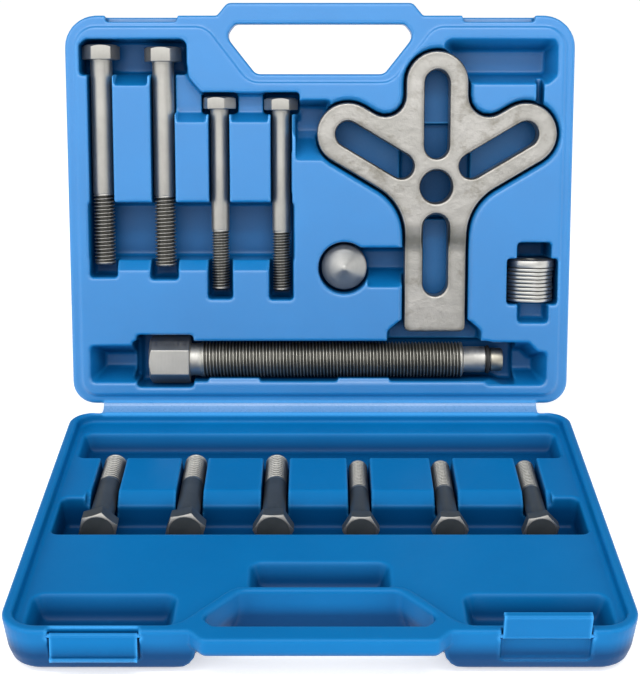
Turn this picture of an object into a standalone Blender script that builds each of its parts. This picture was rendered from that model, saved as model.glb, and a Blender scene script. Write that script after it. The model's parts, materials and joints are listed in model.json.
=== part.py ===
"""Gear puller kit in its hinged blow-moulded case, standing open.

A four-armed slotted yoke, a forcing screw, a cone tip, ten bolts and a stack of washers lie in
the two halves of a plastic case. All sizes are in millimetres and are scaled to metres when a
mesh is made.

Tray coordinates are shared by both case halves: x to the right, v away from the hinge axis
along the parting plane, z out of the tray's face, with z = 0 on the parting plane. The base
lies flat with v towards -Y, and the lid stands up from the hinge, leaning back.
"""
import math

import bmesh
import bpy

MM = 0.001

# Case outline and hinge
CASE_WIDTH = 222.0
CASE_REAR = 3.6
LID_REAR = 2.0
CASE_FRONT = 173.0
REAR_RADIUS = 10.0
FRONT_RADIUS = 14.0
BASE_DEPTH = 20.0
LID_DEPTH = 30.0
WALL = 1.8
RIM_GAP = 0.15
OPEN_ANGLE = 104.7
LID_TILT = math.radians(180.0 - OPEN_ANGLE)
HINGE_Y = (CASE_REAR + CASE_FRONT) / 2
LIP_CHAMFER = 0.8
WEB_HALF_WIDTH = 97.5
WEB_THICKNESS = 1.2
WEB_FOLD_GAP = 0.15
WEB_ROOT = 1.2

# Handle
HANDLE_TOP = 178.4
HANDLE_THICKNESS = 8.0
HANDLE_HOLE = [(-28, 148, 4), (28, 148, 4), (41, 164.3, 4), (36.8, 169.3, 2), (-36.8, 169.3, 2), (-41, 164.3, 4)]
HANDLE_BAR = [(-56, 160, 1), (56, 160, 1), (46, 171.5, 3), (40.2, HANDLE_TOP, 3), (-40.2, HANDLE_TOP, 3), (-46, 171.5, 3)]
# The notch's sides flare out by this much at the back of the case, in a quarter of an ellipse
NOTCH_FLARE = 14.0
NOTCH_STEPS = [0.0, 0.35, 0.6, 0.8, 0.92, 1.0]
HANDLE_NOTCH = [(-28.3, 148, 4), (28.3, 148, 4), (42, 166, 6), (44, 190, 1), (-44, 190, 1), (-42, 166, 6)]

# The raised face of the lid nests inside the rim of the base when the case is shut
LID_FACE = 0.8
BASE_FACE = -4.5
FACE_OUTLINE = [
    (-106.6, 5.8, 7), (106.6, 5.8, 7), (106.6, 168.2, 9), (49.5, 168.2, 9),
    (31, 144.4, 9), (-31, 144.4, 9), (-49.5, 168.2, 9), (-106.6, 168.2, 9),
]
NEST_GAP = 0.6

# Heel feet on the hinge side: the lid's pair touches the table when the lid stands open
FOOT_X = 62.0
FOOT_WIDTH = 40.0
FOOT_REACH = 12.0
FOOT_THICKNESS = 9.0
FOOT_FLOOR_GAP = 0.3
BLOW_HOLE_RADIUS = 2.5

# Latches
LATCH_X = 77.5
LATCH_WIDTH = 30.0
LATCH_HEIGHT = 9.2
LATCH_THICKNESS = 1.8
LATCH_AXIS_V = 171.6
LATCH_AXIS_Z = -3.0
LATCH_BARREL = 1.0
LATCH_HOOK = 2.1
LATCH_HOOK_HEIGHT = 1.8
LATCH_RECESS_V = 170.3
LATCH_GROOVE_V = 168.9
LATCH_SIDE_GAP = 0.5
TRUNNION_RADIUS = 0.7
TRUNNION_LENGTH = 1.6
TRUNNION_GAP = 0.3
LATCH_LEFT_ANGLE = math.radians(168.0)
LATCH_RIGHT_ANGLE = math.radians(8.0)

# Yoke
YOKE_X = 51.2
YOKE_V = 99.1
ARM_HALF_WIDTH = 13.6
ARM_LENGTH = 45.3
ARM_RISE = math.radians(30.6)
FOOT_ARM_LENGTH = 64.5
YOKE_TOP = 1.0
YOKE_THICKNESS = 12.0
YOKE_STEP = 2.2
YOKE_STEP_START = 17.5
YOKE_STEP_END = 28.0
SLOT_RADIUS = 5.5
SLOT_NEAR = 17.8
SLOT_FAR = 45.3
FOOT_SLOT_FAR = 43.0
BORE_RADIUS = 7.2
YOKE_CHAMFER = 0.7
YOKE_CLEARANCE = 1.1

# Forcing screw, M16 x 1.5
SCREW_V = 21.0
SCREW_Z = -7.5
SCREW_HEAD_FLATS = 19.0
SCREW_HEAD_LENGTH = 18.0
SCREW_START_X = -76.6
SCREW_THREAD_RADIUS = 8.0
SCREW_NECK_RADIUS = 7.3
SCREW_NECK_END = 23.0
SCREW_THREAD_END = 141.0
SCREW_NOSE_RADIUS = 5.85
SCREW_GROOVE_START = 151.0
SCREW_GROOVE_END = 153.4
SCREW_GROOVE_RADIUS = 4.5
SCREW_TIP_END = 159.0
SCREW_TIP_RADIUS = 5.25
O_RING_MINOR = 0.9

# Cone tip
CONE_X = 10.8
CONE_V = 63.2
CONE_RADIUS = 10.1
CONE_BASE_HEIGHT = 9.0
CONE_HEIGHT = 15.0
CONE_FLOOR = -14.0

# Bolts: shank radius, width across flats, head height; each one's x, v, length and turn in degrees
BOLT_LARGE = (4.76, 14.29, 6.35)
BOLT_SMALL = (4.0, 13.0, 5.3)
LONG_BOLT_Z = -6.2
LONG_BOLTS = {
    "long_bolt_3_8_a": (BOLT_LARGE, -96.0, 160.7, 90.0, -7.0),
    "long_bolt_3_8_b": (BOLT_LARGE, -68.9, 159.8, 90.0, 3.0),
    "long_bolt_m8_a": (BOLT_SMALL, -44.3, 138.3, 80.0, 11.0),
    "long_bolt_m8_b": (BOLT_SMALL, -17.2, 137.8, 80.0, 1.0),
}
SHORT_BOLT_Z = -9.75
SHORT_BOLTS = {
    "short_bolt_3_8_a": (BOLT_LARGE, -87.8, 91.4, 50.8, 103.0),
    "short_bolt_3_8_b": (BOLT_LARGE, -53.2, 91.4, 50.8, 108.0),
    "short_bolt_3_8_c": (BOLT_LARGE, -18.5, 91.4, 50.8, 120.0),
    "short_bolt_m8_a": (BOLT_SMALL, 16.2, 91.6, 48.0, 120.0),
    "short_bolt_m8_b": (BOLT_SMALL, 51.4, 91.6, 48.0, 119.0),
    "short_bolt_m8_c": (BOLT_SMALL, 87.3, 91.6, 48.0, 107.0),
}
SHORT_CHANNEL_GAP = 0.8
REST_GAP = 0.3

# Washers, stacked along v
WASHER_X = 94.1
WASHER_Z = -8.6
WASHER_RADIUS = 10.3
WASHER_BORE = 5.2
WASHER_THICKNESS = 1.4
WASHER_PITCH = 1.7
WASHER_START = 47.9
WASHER_COUNT = 10
WASHER_SHIFT = [0.0, 0.1, -0.1, 0.2, 0.0, -0.1, 0.1, 0.0, 0.45, 0.6]
WASHER_TOP_TILT = math.radians(5.0)

BLUE = (0.035, 0.24, 0.62, 1.0)
STEEL = (0.52, 0.50, 0.46, 1.0)
DARK_STEEL = (0.30, 0.30, 0.29, 1.0)
BLACK = (0.02, 0.02, 0.02, 1.0)


def clear_scene():
    for obj in list(bpy.data.objects):
        bpy.data.objects.remove(obj, do_unlink=True)


def make_material(name, colour, metallic, roughness):
    material = bpy.data.materials.new(name)
    material.use_nodes = True
    shader = material.node_tree.nodes["Principled BSDF"]
    shader.inputs["Base Color"].default_value = colour
    shader.inputs["Metallic"].default_value = metallic
    shader.inputs["Roughness"].default_value = roughness
    return material


# ---------------------------------------------------------------- outlines


def outline(corners, grow=0.0, steps=4):
    """The corners (x, y, radius), given anticlockwise, moved out by grow and rounded; wide ones get more steps."""
    count = len(corners)
    points = []
    for i in range(count):
        ax, ay, _ = corners[i - 1]
        bx, by, radius = corners[i]
        cx, cy, _ = corners[(i + 1) % count]
        ux, uy = unit(bx - ax, by - ay)
        wx, wy = unit(cx - bx, cy - by)
        turn = math.atan2(ux * wy - uy * wx, ux * wx + uy * wy)
        # the moved corner lies along the bisector of the two edge normals
        nx, ny = unit(uy + wy, -ux - wx)
        reach = grow / math.cos(turn / 2)
        px, py = bx + nx * reach, by + ny * reach
        bend = max(radius + grow if turn > 0 else radius - grow, 0.15)
        side = 1 if turn > 0 else -1
        tangent = bend * math.tan(abs(turn) / 2)
        sx, sy = px - ux * tangent, py - uy * tangent
        ox, oy = sx - uy * side * bend, sy + ux * side * bend
        start = math.atan2(sy - oy, sx - ox)
        arcs = steps + int(radius / 3)
        for k in range(arcs + 1):
            angle = start + turn * k / arcs
            points.append((ox + bend * math.cos(angle), oy + bend * math.sin(angle)))
    return points


def unit(x, y):
    size = math.hypot(x, y)
    return x / size, y / size


def rectangle(x0, v0, x1, v1, radius):
    return [(x0, v0, radius), (x1, v0, radius), (x1, v1, radius), (x0, v1, radius)]


def circle(radius, steps, turn=0.0):
    step = 2 * math.pi / steps
    return [(radius * math.cos(turn + k * step), radius * math.sin(turn + k * step)) for k in range(steps)]


# ---------------------------------------------------------------- meshes


def add_object(name, vertices, faces, material=None):
    """A mesh object from points in millimetres, with its faces turned outwards."""
    mesh = bpy.data.meshes.new(name)
    mesh.from_pydata([[c * MM for c in p] for p in vertices], [], faces)
    work = bmesh.new()
    work.from_mesh(mesh)
    bmesh.ops.remove_doubles(work, verts=work.verts, dist=1e-7)
    bmesh.ops.recalc_face_normals(work, faces=work.faces)
    work.to_mesh(mesh)
    work.free()
    obj = bpy.data.objects.new(name, mesh)
    bpy.context.scene.collection.objects.link(obj)
    if material:
        mesh.materials.append(material)
    return obj


def loft(name, rings, material=None, flip=1):
    """A closed solid through rings of equal point count, each (points, z); flip = -1 turns v over."""
    count = len(rings[0][0])
    vertices = [(x, v * flip, z) for points, z in rings for x, v in points]
    faces = [list(range(count))[::-1], [len(vertices) - count + k for k in range(count)]]
    for i in range(len(rings) - 1):
        for k in range(count):
            a, b = i * count + k, i * count + (k + 1) % count
            faces.append([a, b, b + count, a + count])
    return add_object(name, vertices, faces, material)


def prism(name, corners, z0, z1, material=None, flip=1, grow=0.0, steps=4):
    points = outline(corners, grow, steps)
    return loft(name, [(points, z0), (points, z1)], material, flip)


def side_prism(name, profile, x0, x1, flip=1):
    """A prism along x whose profile is (v, z)."""
    count = len(profile)
    vertices = [(x, v * flip, z) for x in (x0, x1) for v, z in profile]
    faces = [list(range(count))[::-1], list(range(count, 2 * count))]
    for k in range(count):
        n = (k + 1) % count
        faces.append([k, n, n + count, k + count])
    return add_object(name, vertices, faces)


def turned(name, profile, material=None, steps=24):
    """A solid turned about x, from (x, radius) pairs; it closes on the axis at both ends."""
    rings = []
    vertices = []
    for x, radius in profile:
        rings.append(range(len(vertices), len(vertices) + steps))
        vertices += [(x, y, z) for y, z in circle(radius, steps)]
    faces = [list(rings[0]), list(rings[-1])[::-1]]
    for near, far in zip(rings, rings[1:]):
        for k in range(steps):
            n = (k + 1) % steps
            faces.append([near[k], near[n], far[n], far[k]])
    return add_object(name, vertices, faces, material)


def hexagon_bar(name, flats, x0, x1, chamfer, turn, material=None):
    """A hexagonal bar along x with its x0 end chamfered; turn = 0 puts a corner on +y."""
    corner = flats / math.sqrt(3)
    blank = turned(name, [(x0, flats / 2 - 0.6), (x0 + chamfer, corner + 0.05), (x1, corner + 0.05)], material, 36)
    points = circle(corner, 6, turn)
    vertices = [(x, y, z) for x in (x0 - 1, x1) for y, z in points]
    faces = [[5, 4, 3, 2, 1, 0], [6, 7, 8, 9, 10, 11]]
    faces += [[k, (k + 1) % 6, (k + 1) % 6 + 6, k + 6] for k in range(6)]
    bar = add_object("cutter_hexagon", vertices, faces)
    combine(blank, [bar], "INTERSECT")
    return blank


def combine(target, tools, operation):
    """Applies one Boolean with every tool in turn, then removes the tools."""
    for tool in tools:
        modifier = target.modifiers.new("shape", "BOOLEAN")
        modifier.operation = operation
        modifier.object = tool
        modifier.solver = "EXACT"
        settle(target)
    for tool in tools:
        bpy.data.objects.remove(tool, do_unlink=True)


def combine_group(target, tools, operation):
    """Applies one Boolean with all the tools at once, then removes the tools."""
    group = bpy.data.collections.new("tools")
    for tool in tools:
        group.objects.link(tool)
    modifier = target.modifiers.new("shape", "BOOLEAN")
    modifier.operation = operation
    modifier.operand_type = "COLLECTION"
    modifier.collection = group
    modifier.solver = "EXACT"
    settle(target)
    for tool in tools:
        bpy.data.objects.remove(tool, do_unlink=True)
    bpy.data.collections.remove(group)


def settle(obj):
    """Replaces an object's mesh with the mesh that its modifiers give."""
    graph = bpy.context.evaluated_depsgraph_get()
    mesh = bpy.data.meshes.new_from_object(obj.evaluated_get(graph))
    obj.modifiers.clear()
    obj.data = mesh


def smooth(obj, angle=35.0):
    obj.data.shade_smooth()
    obj.data.set_sharp_from_angle(angle=math.radians(angle))


# ---------------------------------------------------------------- case halves


def pocket(corners, face, floor, inset, mouth=0.8, foot=1.2, radius_steps=3):
    """A recess: its corners at the face, its floor, how far the floor is inset, and soft edges."""
    return {
        "corners": corners, "face": face, "floor": floor, "inset": inset,
        "mouth": mouth, "foot": foot, "steps": radius_steps,
    }


def pocket_cutter(p, flip, over=2.0):
    corners, steps = p["corners"], p["steps"]
    rings = [
        (outline(corners, -p["inset"] - p["foot"], steps), p["floor"]),
        (outline(corners, -p["inset"], steps), p["floor"] + p["foot"]),
        (outline(corners, 0.0, steps), p["face"] - p["mouth"]),
        (outline(corners, p["mouth"], steps), p["face"]),
        (outline(corners, p["mouth"], steps), p["face"] + over),
    ]
    return loft("cutter", rings, flip=flip)


def pocket_core(p, flip):
    """The same recess grown by the wall: what it takes out of the hollow behind it.

    Its small corners are sharp, so that the coarse arc never comes closer than the wall.
    """
    corners = [(x, v, radius if radius > 3.5 else 0.3) for x, v, radius in p["corners"]]
    rings = [
        (outline(corners, WALL - p["inset"], 1), p["floor"] - WALL),
        (outline(corners, WALL, 1), p["face"] + 1.0),
    ]
    return loft("core", rings, flip=flip)


def ramp(x0, x1, profile):
    """A sloped cut across x, with a profile of (v, z) from the face down and back up."""
    return {"x0": x0, "x1": x1, "profile": profile}


def ramp_core(r, flip):
    """The ramp grown by the wall, by moving its lowest points down and its ends out."""
    middle = sum(v for v, _ in r["profile"]) / len(r["profile"])
    top = max(z for _, z in r["profile"])
    grown = [
        (v + math.copysign(WALL, v - middle), z + 1.0 if z == top else z - WALL) for v, z in r["profile"]
    ]
    return side_prism("core", grown, r["x0"] - WALL, r["x1"] + WALL, flip)


def rear_edge(flip):
    """How far a half's hinge-side wall stands from the hinge axis."""
    return LID_REAR if flip > 0 else CASE_REAR


def case_outline(flip, grow, steps):
    half, rear = CASE_WIDTH / 2, rear_edge(flip)
    corners = [
        (-half, rear, REAR_RADIUS), (half, rear, REAR_RADIUS),
        (half, CASE_FRONT, FRONT_RADIUS), (-half, CASE_FRONT, FRONT_RADIUS),
    ]
    return outline(corners, grow, steps)


def case_body(name, depth, flip, material):
    """The outer form of a half: a tray with drafted sides and a rounded back edge, plus its handle bar."""
    top = -RIM_GAP
    rings = [
        (case_outline(flip, -9.5, 5), -depth),
        (case_outline(flip, -5.6, 5), -depth + 0.9),
        (case_outline(flip, -2.6, 5), -depth + 3.4),
        (case_outline(flip, -1.3, 5), -depth + 7.4),
        (case_outline(flip, 0.0, 5), top - LIP_CHAMFER),
        (case_outline(flip, -LIP_CHAMFER, 5), top),
    ]
    body = loft(name, rings, material, flip)
    bar = loft("bar", handle_rings(HANDLE_BAR, top, HANDLE_THICKNESS), flip=flip)
    combine(body, [bar], "UNION")
    return body


def handle_rings(corners, top, thickness):
    """The bar's section is rounded on its far side, for the hand."""
    return [
        (outline(corners, -2.6, 3), top - thickness),
        (outline(corners, -0.8, 3), top - thickness + 1.0),
        (outline(corners, 0.0, 3), top - thickness + 2.8),
        (outline(corners, 0.0, 3), top - LIP_CHAMFER),
        (outline(corners, -LIP_CHAMFER, 3), top),
    ]


def handle_cutters(depth, flip):
    """The finger hole through the half, and the space below the bar."""
    hole = loft(
        "cutter",
        [
            (outline(HANDLE_HOLE, 0.0, 4), -depth - 2),
            (outline(HANDLE_HOLE, 0.0, 4), -RIM_GAP - LIP_CHAMFER),
            (outline(HANDLE_HOLE, LIP_CHAMFER, 4), -RIM_GAP),
            (outline(HANDLE_HOLE, LIP_CHAMFER, 4), 4.0),
        ],
        flip=flip,
    )
    notch = loft("cutter", notch_rings(HANDLE_NOTCH, depth, 4), flip=flip)
    return [hole, notch]


def notch_rings(corners, depth, steps):
    """Rings of the notch below the handle bar, from the back of the case up to the bar."""
    top = -RIM_GAP - HANDLE_THICKNESS
    rings = []
    for t in reversed(NOTCH_STEPS):
        flare = NOTCH_FLARE * (1.0 - math.sqrt(1.0 - t * t))
        rings.append((outline(widened(corners, flare), 0.0, steps), top - t * (depth + top)))
    return [(rings[0][0], -depth - 2)] + rings


def widened(corners, grow):
    return [(x + math.copysign(grow, x), v, radius) for x, v, radius in corners]


def case_hollow(depth, flip, cores):
    """The space between the two skins: the outer form inset by the wall, less the grown recesses."""
    rings = [
        (case_outline(flip, -10.5, 3), -depth + WALL),
        (case_outline(flip, -4.6, 3), -depth + WALL + 2.2),
        (case_outline(flip, -WALL - 1.3, 3), -depth + WALL + 6.0),
        (case_outline(flip, -WALL, 3), -RIM_GAP - WALL),
    ]
    hollow = loft("hollow", rings, flip=flip)
    notch = [(x * 1.03, v - WALL, r) for x, v, r in HANDLE_NOTCH[:2]] + [(44.6, 164, 4), (46, 190, 1)]
    notch += [(-46, 190, 1), (-44.6, 164, 4)]
    rings = [(points, z + WALL) for points, z in notch_rings(widened(notch, 0.8), depth, 1)]
    cores.append(loft("core", rings + [(rings[-1][0], 6.0)], flip=flip))
    combine_group(hollow, cores, "DIFFERENCE")
    return hollow


def foot(x, depth, reach, flip):
    """A heel moulded on the hinge-side wall, as thick as the back third of the half."""
    half = FOOT_WIDTH / 2
    profile = [
        (8.0, -depth + 2.2), (CASE_REAR + 1.0, -depth + 1.0), (-reach + 1.5, -depth + 0.4), (-reach, -depth + 2.4),
        (-reach, -depth + FOOT_THICKNESS - 1.5), (-reach + 1.5, -depth + FOOT_THICKNESS), (8.0, -depth + FOOT_THICKNESS + 3),
    ]
    return side_prism("foot", profile, x - half, x + half, flip)


def build_half(name, depth, flip, face, pockets, ramps, feet, material):
    """One case half: outer form, feet, recesses, then its hollow and the blow-pin hole."""
    half = case_body(name, depth, flip, material)
    if face > 0:
        plateau = loft(
            "plateau",
            [
                (outline(FACE_OUTLINE, 0.3, 3), -2.0),
                (outline(FACE_OUTLINE, 0.0, 3), -RIM_GAP + 0.3),
                (outline(FACE_OUTLINE, -0.5, 3), face),
            ],
            flip=flip,
        )
        combine(half, [plateau], "UNION")
    combine(half, feet, "UNION")
    combine_group(half, handle_cutters(depth, flip), "DIFFERENCE")
    cutters = [pocket_cutter(p, flip) for p in pockets]
    cutters += [side_prism("cutter", r["profile"], r["x0"], r["x1"], flip) for r in ramps]
    combine_group(half, cutters, "DIFFERENCE")
    cores = [pocket_core(p, flip) for p in pockets]
    cores += [ramp_core(r, flip) for r in ramps]
    cores += latch_cores(flip)
    hollow = case_hollow(depth, flip, cores)
    combine(half, [hollow], "DIFFERENCE")
    return half


def blow_hole(depth, flip):
    """The blow pin's hole through the hinge-side wall, which opens the hollow."""
    pin = turned("cutter", [(0.0, BLOW_HOLE_RADIUS), (8.0, BLOW_HOLE_RADIUS)], steps=12)
    pin.rotation_euler = (0.0, 0.0, math.pi / 2 * flip)
    pin.location = (0.0, 0.0, -depth * 0.55 * MM)
    return pin


def web(flip):
    """Half of the living hinge: a thin web from the rear wall to the fold line."""
    top = -RIM_GAP
    corners = rectangle(-WEB_HALF_WIDTH, WEB_FOLD_GAP, WEB_HALF_WIDTH, rear_edge(flip) + WEB_ROOT, 0.4)
    return prism("web", corners, top - WEB_THICKNESS, top, flip=flip, steps=1)


def yoke_outline():
    """The yoke's outline, relative to its bore: three round arms, and one square-ended arm."""
    width, length = ARM_HALF_WIDTH, ARM_LENGTH
    along = (math.cos(ARM_RISE), math.sin(ARM_RISE))
    below = (along[1], -along[0])
    reach_low = (width - width * below[0]) / along[0]
    reach_high = (width + width * below[0]) / along[0]
    low = (width, width * below[1] + reach_low * along[1], 24.0)
    high = (width, -width * below[1] + reach_high * along[1], 9.0)
    tip = length + width
    right = [
        (width, -FOOT_ARM_LENGTH, 2.5),
        low,
        (tip * along[0] + width * below[0], tip * along[1] + width * below[1], width),
        (tip * along[0] - width * below[0], tip * along[1] - width * below[1], width),
        high,
        (width, tip, width),
    ]
    left = [(-x, v, r) for x, v, r in reversed(right)]
    return right + left


def yoke_corners():
    return [(x + YOKE_X, v + YOKE_V, r) for x, v, r in yoke_outline()]


def lid_pockets():
    face = LID_FACE
    pockets = [
        # heads of the long large bolts
        pocket([(-104.8, 147.6, 1.5), (-58, 147.6, 1.5), (-58, 163, 3), (-101.8, 163, 2), (-104.8, 160.6, 2)],
               face, -14.6, 0.8),
        # shallow floor beside and between the heads
        pocket([(-66, 131.2, 1), (-9.2, 131.2, 1), (-9.2, 139.9, 2), (-51.5, 139.9, 4), (-57.6, 147, 6), (-57.6, 152, 1),
                (-66, 152, 1)], face, -6.5, 0.6),
        pocket(rectangle(-52.3, 130.6, -36.0, 140.2, 1.5), face, -13.8, 0.4),
        pocket(rectangle(-25.2, 130.6, -8.9, 140.2, 1.5), face, -13.4, 0.4),
        # channels under the shanks
        pocket(rectangle(-101.5, 60, -90.7, 150, 1.2), face, -11.35, 0.1, mouth=0.4),
        pocket(rectangle(-74.2, 60, -63.6, 150, 1.2), face, -11.35, 0.1, mouth=0.4),
        pocket(rectangle(-48.9, 52, -39.7, 134, 1.2), face, -10.6, 0.1, mouth=0.4),
        pocket(rectangle(-21.7, 52, -12.2, 134, 1.2), face, -10.6, 0.1, mouth=0.4),
        # wider ends of the channels, round the bolts' tips
        pocket(rectangle(-102.0, 59, -89.8, 69, 1.2), face, -11.4, 0.5),
        pocket(rectangle(-75.3, 58.1, -62.8, 69, 1.2), face, -11.4, 0.5),
        pocket(rectangle(-49.8, 49.4, -38.8, 69, 1.2), face, -11.0, 0.5),
        pocket(rectangle(-22.6, 49.1, -11.9, 69, 1.2), face, -11.0, 0.5),
        # deep floor across all four
        pocket(rectangle(-102.3, 66, -11.4, 92.4, 1.5), face, -16.5, 1.4),
        # finger recess between the bolts and the yoke
        pocket(rectangle(-12, 121, 5, 136.8, 2), face, -12.0, 2.5),
        # yoke
        pocket(rectangle_grown(yoke_corners(), YOKE_CLEARANCE), face, YOKE_TOP - YOKE_THICKNESS - REST_GAP, 0.4,
               mouth=1.7, foot=0.6),
        # deeper well under the yoke's bore
        pocket(rectangle(38, 84, 64.4, 127, 2), face, -14.0, 0.5, foot=0.6),
        pocket(rectangle(35.2, 95, 67.2, 116, 2), face, -14.0, 0.5, foot=0.6),
        # rest for the yoke's end beside the screw
        pocket([(30, 28, 1), (72, 28, 1), (72, 35, 3), (66.5, 40, 3), (36, 40, 3), (30, 35, 3)], face, -12.0, 0.8),
        # rectangular recess at the top right, and its narrow channel
        pocket([(54, 144, 1), (99.5, 144, 3), (103.4, 147.5, 3), (103.4, 162.9, 3), (54, 162.9, 3)], face, -13.0, 4.0),
        pocket(rectangle(94.4, 132, 97.6, 148, 0.5), face, -7.0, 0.3, mouth=0.5, foot=0.4),
        # cone tip, and its channel to the yoke
        pocket(rectangle(CONE_X - 11.6, CONE_V - 11.6, CONE_X + 11.6, CONE_V + 11.6, 11.55), face,
               CONE_FLOOR - REST_GAP, 0.4, foot=0.6, radius_steps=7),
        pocket(rectangle(16, 59.6, 47.4, 72.4, 1.5), face, -14.0, 1.6),
        # washers, and their finger slots
        pocket(rectangle(83.0, 47.0, 105.6, 67.4, 1.2), face, WASHER_Z - WASHER_RADIUS - 0.4, 0.4, foot=0.5),
        pocket(rectangle(87.4, 62, 102.4, 74.6, 1.5), face, -17.5, 0.8),
        pocket(rectangle(87.9, 38.8, 101.6, 52, 1.5), face, -7.0, 1.2),
        # forcing screw: thread, head and the finger recesses at both ends
        pocket([(-84, 12.2, 1.5), (76.8, 12.2, 1.5), (81.7, 10.7, 1.5), (88, 10.7, 1), (88, 29.8, 1), (78, 29.8, 2),
                (74, 30.5, 2), (-84, 30.5, 1.5)], face, SCREW_Z - SCREW_THREAD_RADIUS - REST_GAP, 0.5),
        pocket(rectangle(-82, 9.6, -56.6, 33.3, 1.5), face, -17.5, 0.4),
        pocket(rectangle(-102.7, 11.8, -78, 28.3, 2), face, -14.0, 4.5),
        pocket([(74, 10.6, 2), (101.4, 10.6, 3), (101.4, 25.5, 2), (97.4, 25.5, 2), (93.2, 29.8, 2), (74, 29.8, 2)],
               face, -14.0, 4.5),
    ]
    top = face + 2.0
    ramps = [
        ramp(-90.0, -75.3, [(143.0, top), (143.0, face), (150.0, -14.5), (152.0, -14.5), (152.0, top)]),
        ramp(-63.0, -49.9, [(127.2, top), (127.2, face), (131.4, -6.4), (134.0, -6.4), (134.0, top)]),
        ramp(-39.0, -22.6, [(127.2, top), (127.2, face), (131.4, -6.4), (134.0, -6.4), (134.0, top)]),
        ramp(-92.0, -12.5, [(62.0, top), (62.0, face), (70.5, -9.0), (75.0, -16.4), (80.0, -16.4), (80.0, top)]),
        ramp(21.0, 39.0, [(54.6, top), (54.6, face), (61.8, -13.9), (64.0, -13.9), (64.0, top)]),
        ramp(-10.6, 4.2, [(110.4, top), (110.4, face), (120.0, -9.5), (124.0, -11.9), (128.0, -11.9), (128.0, top)]),
    ]
    return pockets, ramps


def rectangle_grown(corners, grow):
    """Corners moved out by grow, with their radii changed to match."""
    moved = []
    count = len(corners)
    for i in range(count):
        ax, ay, _ = corners[i - 1]
        bx, by, radius = corners[i]
        cx, cy, _ = corners[(i + 1) % count]
        ux, uy = unit(bx - ax, by - ay)
        wx, wy = unit(cx - bx, cy - by)
        turn = math.atan2(ux * wy - uy * wx, ux * wx + uy * wy)
        nx, ny = unit(uy + wy, -ux - wx)
        reach = grow / math.cos(turn / 2)
        moved.append((bx + nx * reach, by + ny * reach, radius + grow if turn > 0 else max(radius - grow, 0.5)))
    return moved


def base_pockets():
    face = BASE_FACE
    nest = rectangle_grown(FACE_OUTLINE, NEST_GAP)
    pockets = [
        pocket(nest, -RIM_GAP, face, 0.5, mouth=0.7, foot=0.8),
        pocket(rectangle(-103.2, 16.5, 103.2, 38.6, 3), face, -12.5, 2.0),
        pocket(rectangle(-104.3, 73.0, 104.3, 101.4, 3), face, -18.3, 0.8),
        pocket(rectangle(-25.6, 122.3, 25.6, 140.8, 4), face, -13.5, 3.0),
        pocket(rectangle(-102.8, 143.7, -51.6, 164.0, 4), face, -13.5, 3.0),
        pocket(rectangle(51.6, 143.7, 102.8, 164.0, 4), face, -13.5, 3.0),
    ]
    for (radius, _, _), x, *_ in SHORT_BOLTS.values():
        floor = SHORT_BOLT_Z - radius - REST_GAP
        half = radius + SHORT_CHANNEL_GAP
        pockets.append(pocket(rectangle(x - half, 33, x + half, 76, 1), face, floor, 0.3, mouth=0.4))
    top = face + 2.0
    ramps = [
        ramp(-95.0, 94.0, [(67.2, top), (67.2, face), (73.6, -9.0), (78.0, -9.0), (78.0, top)]),
    ]
    return pockets, ramps


def latch_profile(flip, wall):
    """The latch recess's (v, z) section in one half, grown by a wall for the hollow behind it."""
    floor, groove, over = LATCH_RECESS_V - wall, LATCH_GROOVE_V - wall, 3.0
    if flip < 0:
        return [(floor, over), (floor, -12.8 - wall), (181.0, -14.8 - wall), (181.0, over)]
    top = LATCH_AXIS_Z + LATCH_HEIGHT
    return [
        (floor, over), (floor, LATCH_HOOK_HEIGHT + REST_GAP - top + wall), (groove, LATCH_HOOK_HEIGHT - top + 0.1 + wall),
        (groove, -top - REST_GAP - wall), (181.0, -top - 3.5 - wall), (181.0, over),
    ]


def latch_recesses(flip):
    """Cutters for one half's front wall, one at each latch."""
    half = LATCH_WIDTH / 2 + LATCH_SIDE_GAP
    return [side_prism("cutter", latch_profile(flip, 0.0), x - half, x + half, flip) for x in (-LATCH_X, LATCH_X)]


def latch_cores(flip):
    """What the latch recesses and their sockets take out of the hollow."""
    half = LATCH_WIDTH / 2 + TRUNNION_LENGTH + TRUNNION_GAP + WALL
    return [side_prism("core", latch_profile(flip, WALL), x - half, x + half, flip) for x in (-LATCH_X, LATCH_X)]


def latch_sockets():
    """Holes in the cheeks of the base's latch recesses, for the trunnions."""
    sockets = []
    for x in (-LATCH_X, LATCH_X):
        reach = LATCH_WIDTH / 2 + TRUNNION_LENGTH + TRUNNION_GAP
        pin = turned("cutter", [(-reach, TRUNNION_RADIUS + TRUNNION_GAP), (reach, TRUNNION_RADIUS + TRUNNION_GAP)],
                     steps=12)
        pin.location = (x * MM, -LATCH_AXIS_V * MM, LATCH_AXIS_Z * MM)
        sockets.append(pin)
    return sockets


def build_case(material):
    feet = [foot(x, LID_DEPTH, lid_foot_reach(), 1) for x in (-FOOT_X, FOOT_X)]
    pockets, ramps = lid_pockets()
    lid = build_half("upper_case_half", LID_DEPTH, 1, LID_FACE, pockets, ramps, feet, material)
    combine(lid, [web(1)], "UNION")
    combine(lid, latch_recesses(1) + [blow_hole(LID_DEPTH, 1)], "DIFFERENCE")
    feet = [foot(x, BASE_DEPTH, FOOT_REACH, -1) for x in (-FOOT_X, FOOT_X)]
    pockets, ramps = base_pockets()
    base = build_half("lower_case_half", BASE_DEPTH, -1, BASE_FACE, pockets, ramps, feet, material)
    combine(base, [web(-1)], "UNION")
    combine(base, latch_recesses(-1) + latch_sockets() + [blow_hole(BASE_DEPTH, -1)], "DIFFERENCE")
    for half in (lid, base):
        smooth(half, 25.0)
    return lid, base


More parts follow.
